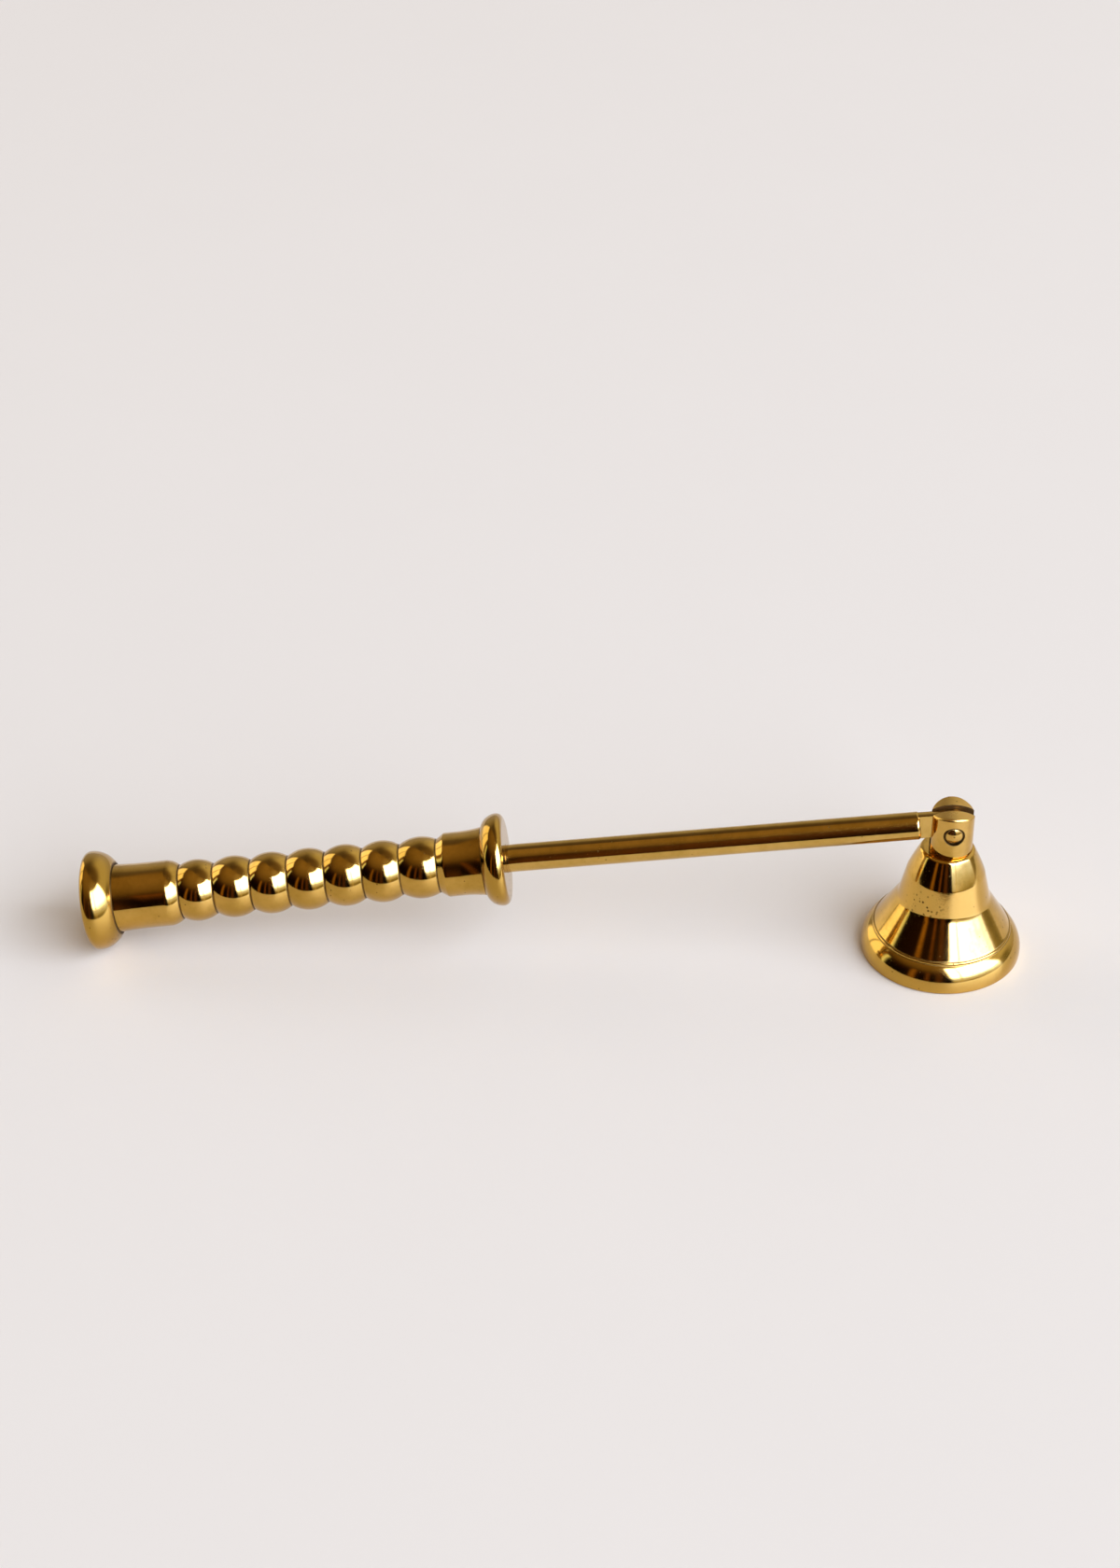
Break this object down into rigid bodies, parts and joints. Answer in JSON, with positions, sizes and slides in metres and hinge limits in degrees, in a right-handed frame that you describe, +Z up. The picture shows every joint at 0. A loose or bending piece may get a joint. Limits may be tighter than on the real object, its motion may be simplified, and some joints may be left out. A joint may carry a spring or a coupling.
{
  "type": "candle snuffer",
  "caption": "Brass candle snuffer: flared bell hinged on a fork knob at the end of a round rod, with a turned bead handle between a collar and a flat pommel, to put out candle flames.",
  "frame": {"origin": "on the surface that the snuffer lies on, under the middle of its whole length, in its plane of symmetry", "axes": "+X along the length towards the bell, +Z up, and the hinge turns about Y"},
  "size_m": [0.2584, 0.044, 0.0467],
  "materials": {
    "bell_brass": "polished yellow brass with fine scratches and light tarnish",
    "knob_brass": "polished brass, worn and darkened at the slot",
    "inside_brass": "dull brass darkened by soot",
    "rivet_brass": "hammered brass, dark around the edge",
    "rod_brass": "polished drawn brass with small dents",
    "handle_brass": "polished turned brass with tarnish in the grooves"
  },
  "bodies": {
    "handle_body": {"rod": "rod_brass", "front_collar": "handle_brass", "grip": "handle_brass", "pommel": "handle_brass"},
    "bell_body": {"bell": "bell_brass", "fork_knob": "knob_brass", "crown_washer": "inside_brass", "crown_nut": "inside_brass", "hinge_rivet": "rivet_brass"}
  },
  "joints": [
    {"name": "bell_hinge", "type": "hinge", "parent": "handle_body", "child": "bell_body", "pos_m": [0.10793, 0, 0.04108], "axis": [0, 1, 0], "range_deg": [-195, 13]}
  ]
}
